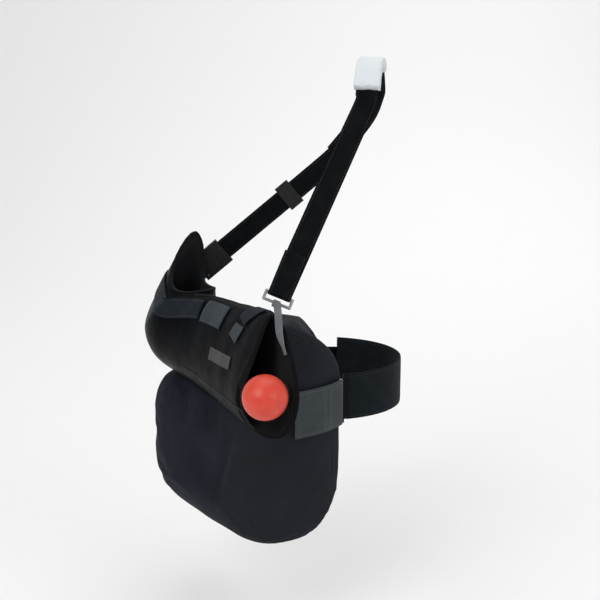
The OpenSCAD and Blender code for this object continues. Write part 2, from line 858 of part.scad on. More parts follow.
// The slider's body, the lug on it and the channel over the teeth. The
// pull turns on a pin through the lug.
zip_body = [9, 4.2, 12];
zip_lug = [2, 4, 6];
zip_channel = [4.8, 1.6, 14];
pin_out = 7.2;
pin_r = 1;
module zip_slider() {
    color([0.5, 0.5, 0.52])
    on_zip(zip_slider_z)
    difference() {
        union() {
            translate([-zip_body.x / 2, 1.5, -zip_body.z / 2]) cube(zip_body);
            translate([-zip_lug.x / 2, 5, -zip_lug.z / 2]) cube(zip_lug);
        }
        translate([-zip_channel.x / 2, 1, -zip_channel.z / 2]) cube(zip_channel);
        translate([-3, pin_out, 0])
        rotate([0, 90, 0])
        cylinder(r = pin_r + 0.05, h = 6);
    }
}

// Pin, two arms and the plate that the fingers hold.
pull_w = 8;
pull_t = 1.6;
arm_size = [1.5, pull_t, 10.6];
plate_len = 16.5;
module zip_pull() {
    color([0.55, 0.55, 0.57])
    on_zip(zip_slider_z) {
        translate([-pull_w / 2, pin_out, 0])
        rotate([0, 90, 0])
        cylinder(r = pin_r, h = pull_w);
        for (e = [-1, 1])
            translate([e * (pull_w - arm_size.x) / 2 - arm_size.x / 2,
                       pin_out - pull_t / 2, -10])
            cube(arm_size);
        translate([-pull_w / 2, pin_out - pull_t / 2, -26])
        cube([pull_w, pull_t, plate_len]);
    }
}

// ---- Ball ----

ball_s = 378;
ball_side = -2;
ball_z = -392;
dot_side = ball_side - ball_d / 2 - 1.9;

module exercise_ball() {
    color([0.88, 0.22, 0.15])
    translate(on_arm(ball_s, ball_side, ball_z))
    sphere(r = ball_d / 2, $fn = 64);
}

// Round hook dot on the wearer's side wall that holds the ball.
dot_r = 11;
dot_t = 1.4;
module ball_dot() {
    color([0.1, 0.1, 0.1])
    at_frame(on_arm(ball_s - 6, dot_side, ball_z),
             [0, 0, 1], [outward.x, outward.y, 0])
    cylinder(r = dot_r, h = dot_t);
}

// ---- Nodes ----

// sub-part to show
pillow_cover();
pillow_core();
pillow_loop_patch();
waist_loop_patch();
zip_tape();
zip_slider();
zip_pull();
pouch_panel(24);  // pouch_outer
pouch_panel(8);  // pouch_inner
pouch_lining();
hand_binding();
arm_binding();
pouch_label();
pouch_hook_patch();
shoulder_strap();
pad_cover();
pad_foam();
strap_slider();
elbow_plug();
elbow_prong(1);  // elbow_prong_a
elbow_prong(-1);  // elbow_prong_b
elbow_socket();
elbow_strap();
elbow_tab();
wrist_ring();
wrist_strap();
wrist_tab();
inner_leg();
waist_tab();
waist_strap();
waist_tail();
waist_plug();
waist_prong(1);  // waist_prong_a
waist_prong(-1);  // waist_prong_b
waist_socket();
waist_rear_webbing();
exercise_ball();
ball_dot();
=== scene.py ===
import math
import bmesh
import bpy
import numpy as np
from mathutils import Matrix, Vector, noise
from mathutils.bvhtree import BVHTree


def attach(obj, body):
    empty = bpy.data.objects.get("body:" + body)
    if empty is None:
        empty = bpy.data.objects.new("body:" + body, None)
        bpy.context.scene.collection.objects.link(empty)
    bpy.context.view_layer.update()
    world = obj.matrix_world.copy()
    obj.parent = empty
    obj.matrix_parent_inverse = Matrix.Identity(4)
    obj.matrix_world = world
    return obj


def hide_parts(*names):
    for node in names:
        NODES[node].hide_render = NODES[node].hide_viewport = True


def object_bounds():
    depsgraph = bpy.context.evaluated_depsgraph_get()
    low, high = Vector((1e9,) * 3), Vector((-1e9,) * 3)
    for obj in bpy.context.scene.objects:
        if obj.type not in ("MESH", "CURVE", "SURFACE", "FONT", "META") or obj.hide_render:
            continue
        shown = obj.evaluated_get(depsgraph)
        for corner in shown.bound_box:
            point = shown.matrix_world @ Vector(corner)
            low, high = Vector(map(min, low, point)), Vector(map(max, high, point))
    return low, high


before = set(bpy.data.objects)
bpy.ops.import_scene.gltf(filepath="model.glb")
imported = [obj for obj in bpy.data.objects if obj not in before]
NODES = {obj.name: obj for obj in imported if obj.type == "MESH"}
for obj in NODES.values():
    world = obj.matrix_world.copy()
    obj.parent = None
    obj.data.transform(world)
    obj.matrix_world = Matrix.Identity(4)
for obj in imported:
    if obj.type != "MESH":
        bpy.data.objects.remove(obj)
CAD_BOX = [list(map(float, corner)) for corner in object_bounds()]
SEED = 7


# ---- Camera, floor and light ----

CAMERA_AIM = (-0.103, 0.0, -0.351)
CAMERA_PITCH = 15
CAMERA_AWAY = 2.0
CAMERA_LENS = 79.2
SENSOR = 36
# The floor lies this far under the part.
FLOOR_DROP = 0.16
LIGHT_AIM = (-0.1, 0.0, -0.35)


def make_camera():
    """In front of the wearer's chest, looking down along +Y."""
    target = Vector(CAMERA_AIM)
    pitch = math.radians(CAMERA_PITCH)
    distance = CAMERA_AWAY
    data = bpy.data.cameras.new("camera")
    data.lens = CAMERA_LENS
    data.sensor_width = SENSOR
    cam = bpy.data.objects.new("camera", data)
    cam.location = target + distance * Vector((0, -math.cos(pitch), math.sin(pitch)))
    cam.rotation_euler = (math.radians(90) - pitch, 0, 0)
    bpy.context.scene.collection.objects.link(cam)
    bpy.context.scene.camera = cam
    bpy.context.scene.view_settings.view_transform = "Standard"


def make_floor():
    """A pale floor that sweeps up behind into a plain wall."""
    depth = [(-6.0, 0.0), (1.6, 0.0), (2.2, 0.06), (2.7, 0.28), (3.0, 0.8), (3.1, 1.6), (3.1, 6.0)]
    low = CAD_BOX[0][2] - FLOOR_DROP
    verts = []
    for y, z in depth:
        for x in (-7.0, 7.0):
            verts.append((x, y, low + z))
    faces = [(2 * i, 2 * i + 1, 2 * i + 3, 2 * i + 2) for i in range(len(depth) - 1)]
    mesh = bpy.data.meshes.new("floor")
    mesh.from_pydata(verts, [], faces)
    floor = bpy.data.objects.new("floor", mesh)
    bpy.context.scene.collection.objects.link(floor)
    sub = floor.modifiers.new("smooth", "SUBSURF")
    sub.levels = sub.render_levels = 3
    for poly in mesh.polygons:
        poly.use_smooth = True
    mat = bpy.data.materials.new("floor")
    mat.use_nodes = True
    shader = mat.node_tree.nodes["Principled BSDF"]
    shader.inputs["Base Color"].default_value = (0.86, 0.86, 0.86, 1)
    shader.inputs["Roughness"].default_value = 0.9
    mesh.materials.append(mat)


def area_light(name, spot, aim, size, power, tint=(1, 1, 1)):
    data = bpy.data.lights.new(name, "AREA")
    data.shape = "RECTANGLE"
    data.size, data.size_y = size
    data.energy = power
    data.color = tint
    light = bpy.data.objects.new(name, data)
    light.location = spot
    light.rotation_euler = (Vector(aim) - Vector(spot)).to_track_quat("-Z", "Y").to_euler()
    bpy.context.scene.collection.objects.link(light)


def make_lights():
    area_light("key", (-1.7, -2.3, 1.5), LIGHT_AIM, (1.6, 1.6), 40)
    area_light("fill", (2.1, -2.0, 0.7), LIGHT_AIM, (1.8, 1.8), 20)
    area_light("top", (0.0, 0.2, 2.3), LIGHT_AIM, (2.2, 2.2), 22)
    area_light("back", (0.6, 2.6, 1.2), LIGHT_AIM, (1.8, 1.8), 22)
    world = bpy.data.worlds.new("studio")
    world.use_nodes = True
    world.node_tree.nodes["Background"].inputs["Color"].default_value = (1, 1, 1, 1)
    world.node_tree.nodes["Background"].inputs["Strength"].default_value = 0.55
    bpy.context.scene.world = world


# ---- Materials ----

# Bands of a wave texture at scale 1 are this far apart.
BAND_PITCH = 0.31416
# Sockets of a mix node that carry its two colours and its result.
MIX_A, MIX_B, MIX_OUT = 6, 7, 2


class Look:
    """One procedural material, built up by small steps."""

    def __init__(self, name, colour, roughness, **fixed):
        self.mat = bpy.data.materials.new(name)
        self.mat.use_nodes = True
        self.tree = self.mat.node_tree
        self.shader = self.tree.nodes["Principled BSDF"]
        self.shader.inputs["Base Color"].default_value = (*colour, 1)
        self.shader.inputs["Roughness"].default_value = roughness
        for key, value in fixed.items():
            self.shader.inputs[key.replace("_", " ")].default_value = value
        self.colour = colour
        self.height = None
        self.coords = self.add("ShaderNodeTexCoord")

    def add(self, kind, **settings):
        made = self.tree.nodes.new(kind)
        for key, value in settings.items():
            setattr(made, key, value)
        return made

    def link(self, a, b):
        self.tree.links.new(a, b)

    def place(self, source, scale=(1, 1, 1)):
        mapping = self.add("ShaderNodeMapping")
        self.link(self.coords.outputs[source], mapping.inputs["Vector"])
        mapping.inputs["Scale"].default_value = scale
        return mapping.outputs["Vector"]

    def noise(self, size, detail=4.0, source="Object", rough=0.5, stretch=(1, 1, 1)):
        tex = self.add("ShaderNodeTexNoise")
        self.link(self.place(source, stretch), tex.inputs["Vector"])
        tex.inputs["Scale"].default_value = 1 / size
        tex.inputs["Detail"].default_value = detail
        tex.inputs["Roughness"].default_value = rough
        return tex.outputs["Fac"]

    def bands(self, pitch, axis, source="UV", distortion=0.0):
        tex = self.add("ShaderNodeTexWave", wave_type="BANDS", bands_direction=axis)
        self.link(self.place(source), tex.inputs["Vector"])
        tex.inputs["Scale"].default_value = BAND_PITCH / pitch
        tex.inputs["Distortion"].default_value = distortion
        tex.inputs["Detail"].default_value = 0
        return tex.outputs["Fac"]

    def east(self, low, high):
        """Rises from 0 to 1 between two values of x."""
        split = self.add("ShaderNodeSeparateXYZ")
        self.link(self.coords.outputs["Object"], split.inputs["Vector"])
        return self.ramp(split.outputs["X"], low, high)

    def cells(self, size):
        tex = self.add("ShaderNodeTexVoronoi")
        self.link(self.place("Object"), tex.inputs["Vector"])
        tex.inputs["Scale"].default_value = 1 / size
        return tex.outputs["Distance"]

    def ramp(self, fac, low, high, from_v=0.0, to_v=1.0):
        spread = self.add("ShaderNodeMapRange")
        self.link(fac, spread.inputs["Value"])
        spread.inputs["From Min"].default_value = low
        spread.inputs["From Max"].default_value = high
        spread.inputs["To Min"].default_value = from_v
        spread.inputs["To Max"].default_value = to_v
        return spread.outputs["Result"]

    def math(self, op, a, b):
        made = self.add("ShaderNodeMath", operation=op)
        for socket, value in zip(made.inputs, (a, b)):
            if isinstance(value, (int, float)):
                socket.default_value = value
            else:
                self.link(value, socket)
        return made.outputs["Value"]

    def tint(self, fac, other):
        """Mixes another colour in where fac is high."""
        mix = self.add("ShaderNodeMix", data_type="RGBA")
        self.link(fac, mix.inputs["Factor"])
        base = self.shader.inputs["Base Color"]
        if base.is_linked:
            self.link(base.links[0].from_socket, mix.inputs[MIX_A])
        else:
            mix.inputs[MIX_A].default_value = (*self.colour, 1)
        mix.inputs[MIX_B].default_value = (*other, 1)
        self.link(mix.outputs[MIX_OUT], base)

    def rough(self, fac, low, high):
        self.link(self.ramp(fac, 0.2, 0.8, low, high), self.shader.inputs["Roughness"])

    def bump(self, fac, depth, strength=1.0):
        made = self.add("ShaderNodeBump")
        made.inputs["Distance"].default_value = depth
        made.inputs["Strength"].default_value = strength
        self.link(fac, made.inputs["Height"])
        if self.height is not None:
            self.link(self.height, made.inputs["Normal"])
        self.height = made.outputs["Normal"]
        self.link(self.height, self.shader.inputs["Normal"])


def brushed_cloth(name, colour, light, nap=0.0011, sheen=0.35, rough=0.85, painted_lit_face=None):
    """Laminated cloth with a short brushed nap, as hook tape grips."""
    look = Look(name, colour, rough, Sheen_Weight=sheen, Sheen_Roughness=0.5,
                Specular_IOR_Level=0.07)
    # Painted light and shade: east of the fold (x from -0.245 to -0.19) the cloth is painted in
    # this lighter, greyer colour. West of it the side face keeps the darker, bluish base, as if
    # light fell differently on the two faces.
    if painted_lit_face:
        look.tint(look.east(-0.245, -0.19), painted_lit_face)
    look.tint(look.ramp(look.noise(0.05, 5), 0.35, 0.7, 0, 0.6), light)
    look.tint(look.ramp(look.noise(nap * 2.2, 3), 0.45, 0.8, 0, 0.5), light)
    look.rough(look.noise(0.02, 4), rough - 0.12, rough + 0.08)
    look.bump(look.noise(0.03, 3), 0.0012, 0.35)
    look.bump(look.noise(nap, 4, rough=0.7), 0.0004, 0.6)
    return look.mat


def knit_cloth(name, colour, light, pitch=0.0016, sheen=0.2, rough=0.8):
    """Fine knit laminated over foam; object coordinates."""
    look = Look(name, colour, rough, Sheen_Weight=sheen, Specular_IOR_Level=0.12)
    grid = look.math("MULTIPLY", look.bands(pitch, "X", "Object", 0.6),
                     look.bands(pitch, "Z", "Object", 0.6))
    look.tint(look.ramp(grid, 0.2, 0.9, 0, 0.45), light)
    look.tint(look.ramp(look.noise(0.04, 4), 0.4, 0.75, 0, 0.5), light)
    look.bump(grid, 0.0003, 0.5)
    look.bump(look.noise(0.012, 3), 0.0006, 0.25)
    return look.mat


def laminate_cloth(name, colour, light):
    """Smooth dark laminate with a soft gloss, fine grain and small creases."""
    look = Look(name, colour, 0.36, Specular_IOR_Level=0.02)
    look.tint(look.ramp(look.noise(0.07, 5), 0.4, 0.75, 0, 0.7), light)
    look.rough(look.noise(0.018, 5), 0.24, 0.42)
    look.bump(look.noise(0.035, 4, stretch=(1, 1, 1.6)), 0.003, 0.35)
    look.bump(look.noise(0.0014, 3), 0.00025, 0.45)
    return look.mat


def webbing(name, colour, light, pitch=0.0021, sheen=0.2, rough=0.62):
    """Flat woven webbing; its UVs are metres along and across the strap."""
    look = Look(name, colour, rough, Sheen_Weight=sheen, Specular_IOR_Level=0.02)
    along = look.bands(pitch, "X")
    across = look.bands(pitch * 0.8, "Y")
    twill = look.bands(pitch, "DIAGONAL")
    cloth = look.math("ADD", look.math("MULTIPLY", along, 0.5),
                      look.math("MULTIPLY", look.math("MULTIPLY", across, twill), 0.5))
    look.tint(look.ramp(cloth, 0.25, 0.85, 0, 0.6), light)
    look.tint(look.ramp(look.noise(0.02, 4, "UV"), 0.45, 0.8, 0, 0.5), light)
    look.rough(look.noise(0.01, 3, "UV"), rough - 0.1, rough + 0.1)
    look.bump(cloth, 0.0005, 0.7)
    look.bump(look.noise(0.0008, 2, "UV"), 0.0002, 0.4)
    return look.mat


def pile_tape(name, colour, light):
    """Hook or loop tape: short stiff pile in rows."""
    look = Look(name, colour, 0.9, Sheen_Weight=0.05, Specular_IOR_Level=0.1)
    look.tint(look.ramp(look.cells(0.0011), 0.2, 0.6), light)
    look.bump(look.cells(0.0011), 0.0006, 0.9)
    look.tint(look.ramp(look.noise(0.01, 3), 0.5, 0.8, 0, 0.4), light)
    return look.mat


def moulded(name, colour, light):
    """Moulded plastic with a fine spark texture and a little rubbed shine."""
    look = Look(name, colour, 0.42, Specular_IOR_Level=0.3)
    look.tint(look.ramp(look.noise(0.004, 4), 0.5, 0.8, 0, 0.6), light)
    look.rough(look.noise(0.003, 3), 0.36, 0.52)
    look.bump(look.noise(0.0005, 2), 0.0001, 0.6)
    return look.mat


def metal(name, colour, dark):
    look = Look(name, colour, 0.34, Metallic=1.0)
    scratches = look.noise(0.002, 4, stretch=(1, 1, 9))
    look.tint(look.ramp(look.noise(0.012, 4), 0.4, 0.8, 0, 0.6), dark)
    look.rough(scratches, 0.24, 0.46)
    look.bump(scratches, 0.00008, 0.4)
    return look.mat


def rubber_skin(name, colour, light):
    """Soft exercise ball: faint mottling, a matt bloom and fine pores."""
    look = Look(name, colour, 0.42, Specular_IOR_Level=0.5, Coat_Weight=0.15,
                Coat_Roughness=0.25, Subsurface_Weight=0.08, Subsurface_Scale=0.01)
    look.tint(look.ramp(look.noise(0.02, 5), 0.4, 0.75, 0, 0.6), light)
    look.rough(look.noise(0.008, 4), 0.34, 0.56)
    look.bump(look.cells(0.0013), 0.00012, 0.4)
    look.bump(look.noise(0.015, 3), 0.0004, 0.3)
    return look.mat


def thread(name, colour):
    look = Look(name, colour, 0.55, Sheen_Weight=0.3)
    look.bump(look.noise(0.0004, 2), 0.0001, 0.6)
    look.tint(look.ramp(look.noise(0.002, 2), 0.4, 0.7, 0, 0.4),
              tuple(min(1, c * 1.6) for c in colour))
    return look.mat


# ---- Mesh helpers ----

def add_object(name, mesh, material=None):
    made = bpy.data.objects.new(name, mesh)
    bpy.context.scene.collection.objects.link(made)
    if material:
        mesh.materials.clear()
        mesh.materials.append(material)
    for poly in mesh.polygons:
        poly.use_smooth = True
    return made


def mesh_from(name, verts, faces):
    mesh = bpy.data.meshes.new(name)
    mesh.from_pydata([tuple(v) for v in verts], [], faces)
    mesh.update()
    return mesh


def object_from(form, name, material):
    """An object made from a bmesh, which is freed."""
    mesh = bpy.data.meshes.new(name)
    form.to_mesh(mesh)
    form.free()
    return add_object(name, mesh, material)


def per_vertex(mesh, what="co"):
    """Positions, or normals, of a mesh's vertices, one row each."""
    values = np.zeros(len(mesh.vertices) * 3)
    mesh.vertices.foreach_get(what, values)
    return values.reshape(-1, 3)


def move_vertices(mesh, spots):
    mesh.vertices.foreach_set("co", spots.ravel())
    mesh.update()


def tree_of(obj):
    form = bmesh.new()
    form.from_mesh(obj.data)
    tree = BVHTree.FromBMesh(form)
    form.free()
    return tree


def on_skin(tree, p):
    """Nearest point of a surface, and its normal."""
    spot, normal, _, _ = tree.find_nearest(Vector(p))
    return np.array(spot), np.array(normal)


def welded(*names, quads=True):
    """One bmesh of the named CAD nodes with doubles merged."""
    form = bmesh.new()
    for name in names:
        form.from_mesh(NODES[name].data)
    bmesh.ops.remove_doubles(form, verts=form.verts, dist=1e-5)
    if quads:
        bmesh.ops.join_triangles(form, faces=form.faces, angle_face_threshold=0.7,
                                 angle_shape_threshold=1.6)
    return form


def keep_modifiers(obj):
    """Turns an object's modifiers into its mesh."""
    bpy.context.view_layer.update()
    graph = bpy.context.evaluated_depsgraph_get()
    mesh = bpy.data.meshes.new_from_object(obj.evaluated_get(graph))
    old = obj.data
    obj.modifiers.clear()
    obj.data = mesh
    for poly in mesh.polygons:
        poly.use_smooth = True
    if old.users == 0:
        bpy.data.meshes.remove(old)


def unit(v):
    return v / (np.linalg.norm(v) or 1.0)


def smooth_points(points, per_step):
    """Catmull-Rom through a list of arrays, with per_step samples a step."""
    pts = [np.asarray(p, float) for p in points]
    last = len(pts) - 1
    out = []
    for i in range(last):
        a, b, c, d = pts[max(i - 1, 0)], pts[i], pts[i + 1], pts[min(i + 2, last)]
        steps = per_step[i] if isinstance(per_step, list) else per_step
        for k in range(steps):
            t = k / steps
            out.append(0.5 * (2 * b + (c - a) * t + (2 * a - 5 * b + 4 * c - d) * t * t
                              + (3 * b - a - 3 * c + d) * t ** 3))
    out.append(pts[last])
    return out


# ---- Straps ----

def band_rings(node, width):
    """Centre, side and outward vectors along a CAD band that is width wide.

    Walks round the band over the mesh edges that cross it, which are exactly
    width long."""
    form = welded(node, quads=False)
    form.verts.ensure_lookup_table()
    crossing = [e for e in form.edges if abs(e.calc_length() - width) < EDGE_MATCH]
    of_vert = {}
    for e in crossing:
        for v in e.verts:
            of_vert[v.index] = e
    cycle = [crossing[0]]
    seen = {crossing[0].index}
    while True:
        here = cycle[-1]
        step = None
        for face in here.link_faces:
            for v in face.verts:
                e = of_vert.get(v.index)
                if e and e.index not in seen:
                    step = e
        if step is None:
            break
        cycle.append(step)
        seen.add(step.index)
    ends = []
    for e in cycle:
        a, b = (np.array(v.co) for v in e.verts)
        if ends and np.dot(b - a, ends[-1][1] - ends[-1][0]) < 0:
            a, b = b, a
        ends.append((a, b))
    form.free()
    count = len(ends)
    half = count // 2
    mids = [(a + b) / 2 for a, b in ends]

    def gap(i):
        return np.linalg.norm(mids[i % count] - mids[(i + 1) % count])
    start = min(range(count), key=lambda i: gap(i) + gap(i + half))
    rings = []
    for i in range(half):
        a = ends[(start + 1 + i) % count]
        b = ends[(start - i) % count]
        centre = (a[0] + a[1] + b[0] + b[1]) / 4
        side = unit((a[1] - a[0]) + (b[1] - b[0]))
        top = (a[0] + a[1]) / 2 - (b[0] + b[1]) / 2
        rings.append((centre, side, top))
    return rings


# A strap's edges have the first share of its thickness, and its middle has both;
# then the rounding's power.
EDGE_SHARE = 0.42
EDGE_RISE = 0.58
EDGE_POWER = 14


def section(width, thick, columns):
    """Rounded outline of a strap, as (across, up) pairs."""
    top = []
    for k in range(columns + 1):
        v = -math.cos(math.pi * k / columns)
        edge = max(0.0, 1 - abs(v) ** EDGE_POWER)
        top.append((v * width / 2, thick / 2 * (EDGE_SHARE + EDGE_RISE * edge)))
    return top + [(a, -b) for a, b in reversed(top)]


# Gap left under a strap that lies on cloth; how near cloth must be to draw a
# strap down, and over what distance the pull comes on.
HUG_GAP = 0.0005
HUG_REACH = 0.012
HUG_EASE = 0.006
# Pitch of a strap's slow unevenness along and across it, in waves a metre.
WAVE_ALONG = 28
WAVE_ACROSS = 22
# A band's crossing edges match its width this closely.
EDGE_MATCH = 4e-6


def hugged(tree, base, top):
    """Where cloth is near a point of a strap's middle plane: the point on it, the
    way out there, and how far the strap gives in to it, from 0 to 1."""
    if tree is None:
        return base, top, 0.0
    spot, normal, _, far = tree.find_nearest(Vector(base))
    share = min(1.0, max(0.0, (HUG_REACH - far) / HUG_EASE))
    if share == 0.0:
        return base, top, 0.0
    normal = np.array(normal)
    if np.dot(base - np.array(spot), normal) < 0:
        normal = -normal if np.dot(top, normal) < 0 else normal
    way = math.copysign(1, np.dot(top, normal)) * normal
    return np.array(spot) + normal * HUG_GAP, unit(top * (1 - share) + way * share), share


class Strap:
    """A strap lofted through rings of (centre, side, top).

    Its UVs are metres along and across it, for the weave; grid keeps its rows of
    points for the stitching."""

    def __init__(self, name, rings, width, thick, columns=12, spacing=0.005,
                 wave=0.0003, tree=None):
        gaps = [np.linalg.norm(b[0] - a[0]) for a, b in zip(rings, rings[1:])]
        steps = [max(2, int(math.ceil(g / spacing))) for g in gaps]
        centres = smooth_points([r[0] for r in rings], steps)
        sides = smooth_points([r[1] for r in rings], steps)
        tops = smooth_points([unit(r[2]) for r in rings], steps)
        outline = section(width, thick, columns)
        n = len(outline)
        self.columns = columns
        self.across = [v for v, _ in outline[:columns + 1]]
        self.grid = []
        verts, uvs, run = [], [], 0.0
        for i, (c, s, t) in enumerate(zip(centres, sides, tops)):
            if i:
                run += np.linalg.norm(c - centres[i - 1])
            s = unit(s)
            t = unit(t - s * np.dot(s, t))
            row = []
            for across, up in outline:
                lift = wave * noise.noise(
                    Vector((run * WAVE_ALONG, across * WAVE_ACROSS, SEED)))
                base = c + s * across
                spot, way, share = hugged(tree, base, t)
                if share:
                    out = unit(base - spot) if np.linalg.norm(base - spot) > 1e-6 else way
                    out = way * math.copysign(1, np.dot(way, out))
                    spot = base * (1 - share) + (spot + out * (thick / 2)) * share
                row.append(spot + way * (up + lift))
                uvs.append((run, across))
            verts += row
            self.grid.append((row, t))
        faces = []
        for i in range(len(centres) - 1):
            for k in range(n):
                m = (k + 1) % n
                faces.append((i * n + k, i * n + m, (i + 1) * n + m, (i + 1) * n + k))
        for base in (0, (len(centres) - 1) * n):
            for k in range(columns):
                quad = (base + k, base + k + 1, base + n - 2 - k, base + n - 1 - k)
                faces.append(quad if base else tuple(reversed(quad)))
        self.mesh = mesh_from(name, verts, faces)
        layer = self.mesh.uv_layers.new(name="metres")
        for loop in self.mesh.loops:
            layer.data[loop.index].uv = uvs[loop.vertex_index]
        form = bmesh.new()
        form.from_mesh(self.mesh)
        bmesh.ops.recalc_face_normals(form, faces=form.faces)
        form.to_mesh(self.mesh)
        form.free()

    def point(self, i, across, face):
        """Surface point of row i and the way out; face is 1 on top, -1 behind."""
        row, _ = self.grid[i]
        n = len(row)
        k = max(0, min(self.columns - 1, int(np.searchsorted(self.across, across)) - 1))
        t = (across - self.across[k]) / (self.across[k + 1] - self.across[k])
        if face > 0:
            a, b, c, d = row[k], row[k + 1], row[n - 1 - k], row[n - 2 - k]
        else:
            a, b, c, d = row[n - 1 - k], row[n - 2 - k], row[k], row[k + 1]
        here, there = a * (1 - t) + b * t, c * (1 - t) + d * t
        return here, unit(here - there)

    def along(self, across, face=1):
        """A line along the strap, for a row of stitches."""
        return [self.point(i, across, face) for i in range(len(self.grid))]

    def crossing(self, at, half, face=1):
        """A line across the strap at a share of its length."""
        i = int(at * (len(self.grid) - 1))
        return [self.point(i, v, face) for v in np.linspace(-half, half, 8)]


# Shares of a straight run at which rings are added.
TIGHT_SHARES = (0.12, 0.5, 0.88, 1.0)


def tightened(rings):
    """Rings added along each straight run, so that a spline keeps to it."""
    out = [rings[0]]
    for a, b in zip(rings, rings[1:]):
        for t in TIGHT_SHARES:
            out.append(tuple(a[k] * (1 - t) + b[k] * t for k in range(3)))
    return out


def strap(name, node, width, thick, look, body, wave=0.0003, tree=None, tight=False):
    rings = band_rings(node, width)
    made = Strap(name, tightened(rings) if tight else rings, width, thick, wave=wave,
                 tree=tree)
    piece = add_object(name, made.mesh, look)
    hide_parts(node)
    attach(piece, body)
    return made


# ---- Stitches and seams ----

def stitches(name, rows, look, body, length=0.0024, gap=0.0013, radius=0.00032):
    """Rows of thread; a row is a list of (point, outward) pairs."""
    verts, faces = [], []
    for row in rows:
        pts = [np.asarray(p, float) for p, _ in row]
        outs = [unit(np.asarray(o, float)) for _, o in row]
        gone = [0.0]
        for a, b in zip(pts, pts[1:]):
            gone.append(gone[-1] + np.linalg.norm(b - a))
        at = gap
        while at + length < gone[-1]:
            ends = []
            for d in (at, at + length / 2, at + length):
                i = max(0, min(len(pts) - 2, int(np.searchsorted(gone, d) - 1)))
                t = (d - gone[i]) / max(gone[i + 1] - gone[i], 1e-9)
                ends.append((pts[i] * (1 - t) + pts[i + 1] * t,
                             outs[i] * (1 - t) + outs[i + 1] * t))
            (p, o), (m, mo), (q, qo) = ends
            along = unit(q - p)
            side = unit(np.cross(along, o)) * radius
            base = len(verts)
            verts += [p - o * radius * 0.4, q - qo * radius * 0.4,
                      m + side + mo * radius * 0.2, m - side + mo * radius * 0.2,
                      m + mo * radius, m - mo * radius]
            faces += [(base, base + 2, base + 4), (base, base + 4, base + 3),
                      (base + 1, base + 4, base + 2), (base + 1, base + 3, base + 4),
                      (base, base + 5, base + 2), (base, base + 3, base + 5),
                      (base + 1, base + 2, base + 5), (base + 1, base + 5, base + 3)]
            at += length + gap
    piece = add_object(name, mesh_from(name, verts, faces), look)
    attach(piece, body)


def cord_along(name, points, radius, look, body, sides=8, closed=False):
    """Thin round piping through points."""
    pts = [np.asarray(p, float) for p in points]
    count = len(pts)
    verts, faces = [], []
    for i, p in enumerate(pts):
        after = pts[(i + 1) % count] if closed or i < count - 1 else pts[i]
        before = pts[i - 1] if closed or i else pts[i]
        along = unit(after - before)
        ref = np.array((0, 0, 1.0)) if abs(along[2]) < 0.9 else np.array((1.0, 0, 0))
        u = unit(np.cross(along, ref))
        w = np.cross(along, u)
        for k in range(sides):
            a = 2 * math.pi * k / sides
            verts.append(p + (u * math.cos(a) + w * math.sin(a)) * radius)
    for i in range(count if closed else count - 1):
        j = (i + 1) % count
        for k in range(sides):
            m = (k + 1) % sides
            faces.append((i * sides + k, i * sides + m, j * sides + m, j * sides + k))
    if not closed:
        faces.append(tuple(range(sides - 1, -1, -1)))
        faces.append(tuple((count - 1) * sides + k for k in range(sides)))
    piece = add_object(name, mesh_from(name, verts, faces), look)
    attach(piece, body)


# ---- Pillow ----

# Centre of the waist in plan; bearings are measured about it.
WAIST = np.array((-0.071, 0.0))
# The fold: its bearing and height, lean in degrees a metre, width and depth,
# half its height, and the bulge beside it as a share of the depth.
FOLD_BEARING = -132.0
FOLD_Z = -0.545
FOLD_LEAN = 90.0
FOLD_WIDE = 0.008
FOLD_DEEP = 0.0045
FOLD_TALL = 0.062
FOLD_BULGE = 0.45
# The pillow's side is met at one of these heights, and its top or low face this
# far in from there.
RIM_TOP = -0.40
RIM_LOW = -0.60
RIM_IN = 0.016
# An end is sought at these heights, from its own bearing toward the middle one,
# as the first cloth that stands this far out.
END_Z = (-0.372, -0.640)
END_FRONT = -66
END_REAR = -236
END_MIDDLE = -150
END_STOP = 20
END_OUT = 0.12
# Bearings the seam's top and low edges run between.
SEAM_TOP = (-192, -110)
SEAM_LOW = (-102, -200)
# The pillow's skin starts this far in, swells this far out, and is held down
# this near its seam.
PILLOW_IN = 0.0014
PILLOW_OUT = 0.0021
SEAM_REACH = 0.012


def shell_hit(tree, spot, way):
    """First point and outward normal met from far away along way."""
    way = unit(np.asarray(way, float))
    start = Vector(np.asarray(spot, float) - way * 0.6)
    where, normal, _, _ = tree.ray_cast(start, Vector(way), 1.4)
    return (np.array(where), np.array(normal)) if where else None


def bearing_dir(b):
    return np.array((math.cos(math.radians(b)), math.sin(math.radians(b)), 0.0))


def rim_line(tree, top, first, last, count):
    """The pillow's outer edge at the top or the bottom, as points and normals."""
    found = []
    for b in np.linspace(first, last, count):
        out = bearing_dir(b)
        mid = np.array((*WAIST, RIM_TOP if top else RIM_LOW))
        side = shell_hit(tree, mid, -out)
        if side is None:
            continue
        reach = np.dot(side[0][:2] - WAIST, out[:2])
        up = 1.0 if top else -1.0
        over = shell_hit(tree, np.array((*(WAIST + out[:2] * (reach - RIM_IN)), mid[2])),
                         (0, 0, -up))
        if over is None:
            continue
        corner = np.array((*(WAIST + out[:2] * reach), over[0][2]))
        edge = shell_hit(tree, corner, -(out + np.array((0, 0, up))))
        if edge:
            found.append(edge)
    return found


def end_line(tree, front, count):
    """The outer corner of one end of the pillow, from the top down."""
    found = []
    turn = -1 if front else 1
    for z in np.linspace(*END_Z, count):
        b = END_FRONT if front else END_REAR
        while abs(b - END_MIDDLE) > END_STOP:
            hit = shell_hit(tree, np.array((*WAIST, z)), -bearing_dir(b))
            if hit and np.linalg.norm(hit[0][:2] - WAIST) > END_OUT:
                break
            b += turn * 0.5
        else:
            continue
        found.append(shell_hit(tree, np.array((*WAIST, z)), -bearing_dir(b + turn * 1.5)))
    return [f for f in found if f]


